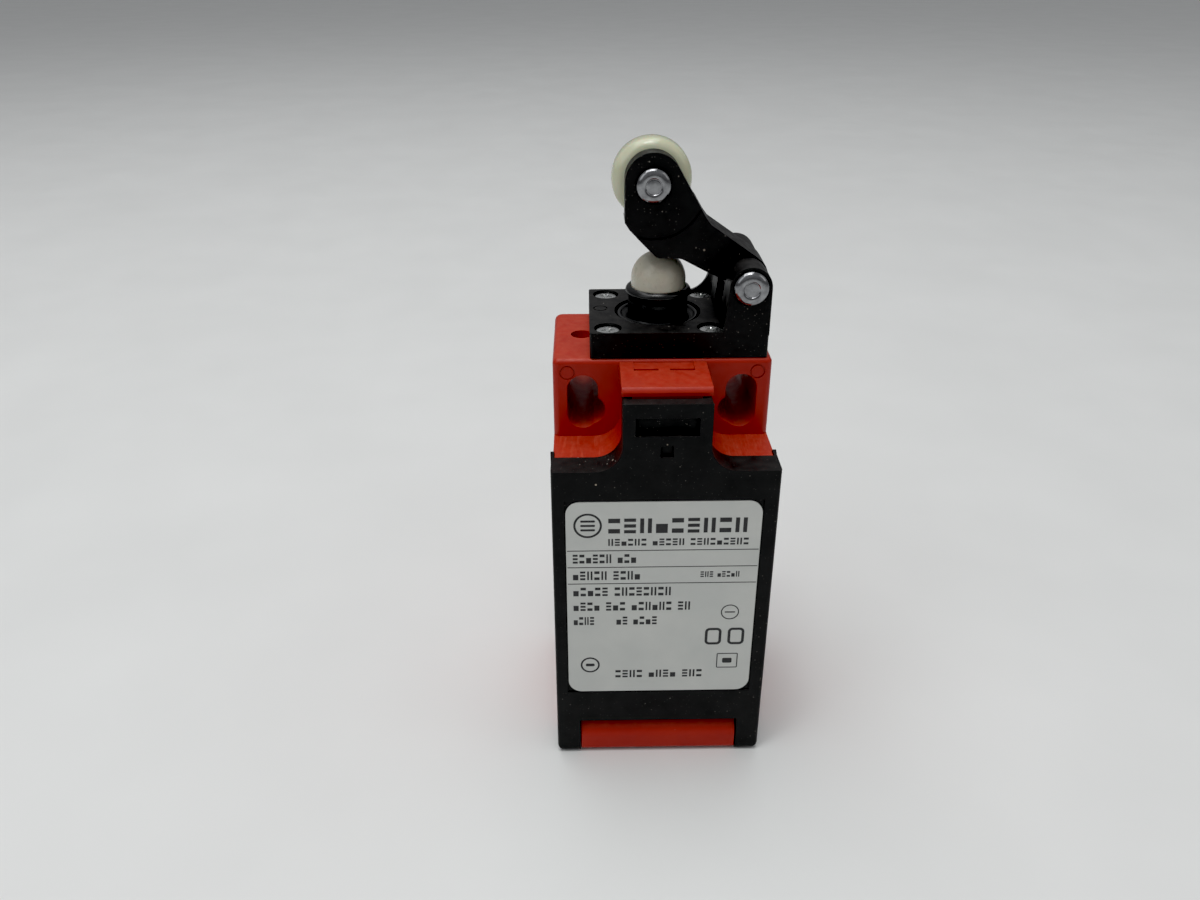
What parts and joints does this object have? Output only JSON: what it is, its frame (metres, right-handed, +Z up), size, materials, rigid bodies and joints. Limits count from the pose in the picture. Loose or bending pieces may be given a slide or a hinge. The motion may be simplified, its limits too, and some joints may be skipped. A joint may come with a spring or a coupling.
{
  "type": "limit switch",
  "caption": "Plastic-bodied limit switch with a roller lever over a spring plunger, a latched hinged cover, flange slots and a conduit entry.",
  "frame": {"origin": "middle of the footprint at the level of the base", "axes": "+X to the right and +Y to the back, seen from the cover side; +Z up along the plunger towards the roller"},
  "size_m": [0.031, 0.03, 0.0883],
  "materials": {
    "red_plastic": "matte moulded",
    "black_plastic": "fine textured, dusty",
    "roller_plastic": "smooth ivory",
    "nylon": "smooth natural white",
    "black_rubber": "matte",
    "label_film": "satin pale grey",
    "zinc_steel": "bright zinc plated",
    "spring_steel": "bare drawn wire",
    "contact_brass": "satin",
    "silver": "satin silver",
    "block_moulding": "matte dark grey moulded"
  },
  "bodies": {
    "body": {"housing": "red_plastic", "head_block": "black_plastic", "head_gasket": "black_rubber", "head_screw_1": "zinc_steel", "head_screw_2": "zinc_steel", "head_screw_3": "zinc_steel", "head_screw_4": "zinc_steel", "lever_pin": "zinc_steel", "contact_base": "block_moulding", "nc_terminal_left": "contact_brass", "nc_terminal_right": "contact_brass", "no_terminal_left": "contact_brass", "no_terminal_right": "contact_brass", "clamp_washer_1": "zinc_steel", "clamp_washer_2": "zinc_steel", "clamp_washer_3": "zinc_steel", "clamp_washer_4": "zinc_steel", "terminal_screw_1": "zinc_steel", "terminal_screw_2": "zinc_steel", "terminal_screw_3": "zinc_steel", "terminal_screw_4": "zinc_steel", "plunger_seal": "black_rubber", "plunger_spring": "spring_steel", "carrier_spring": "spring_steel"},
    "lever": {"lever": "black_plastic", "roller_pin": "zinc_steel"},
    "roller": {"roller": "roller_plastic"},
    "plunger": {"plunger": "nylon", "contact_carrier": "nylon", "nc_bridge": "silver", "no_bridge": "silver", "nc_bridge_spring": "spring_steel", "no_bridge_spring": "spring_steel"},
    "cover": {"cover": "black_plastic", "cover_gasket": "black_rubber", "label_plate": "label_film"},
    "latch": {"cover_latch": "red_plastic"}
  },
  "joints": [
    {"name": "lever_swing", "type": "hinge", "parent": "body", "child": "lever", "pos_m": [0.0115, 0.0041, 0.0705], "axis": [0, -1, 0], "range_deg": [0, 18], "stiffness_Nm_per_rad": 0.04, "springref_deg": -8.59},
    {"name": "roller_spin", "type": "hinge", "parent": "lever", "child": "roller", "pos_m": [-0.0014, 0.00685, 0.0829], "axis": [0, 1, 0], "continuous": true},
    {"name": "plunger_slide", "type": "slide", "parent": "body", "child": "plunger", "axis": [0, 0, -1], "range_m": [0, 0.0037], "deforming": ["plunger_spring", "carrier_spring"]},
    {"name": "cover_hinge", "type": "hinge", "parent": "body", "child": "cover", "pos_m": [0, -0.0123, 0.0028], "axis": [1, 0, 0], "range_deg": [0, 90]},
    {"name": "latch_flex", "type": "hinge", "parent": "body", "child": "latch", "pos_m": [0, -0.0042, 0.0596], "axis": [-1, 0, 0], "range_deg": [0, 8], "stiffness_Nm_per_rad": 0.01, "springref_deg": -2.86}
  ],
  "couplings": [
    {"joint": "plunger_slide", "follows": "lever_swing", "m_per_rad": 0.01175}
  ]
}
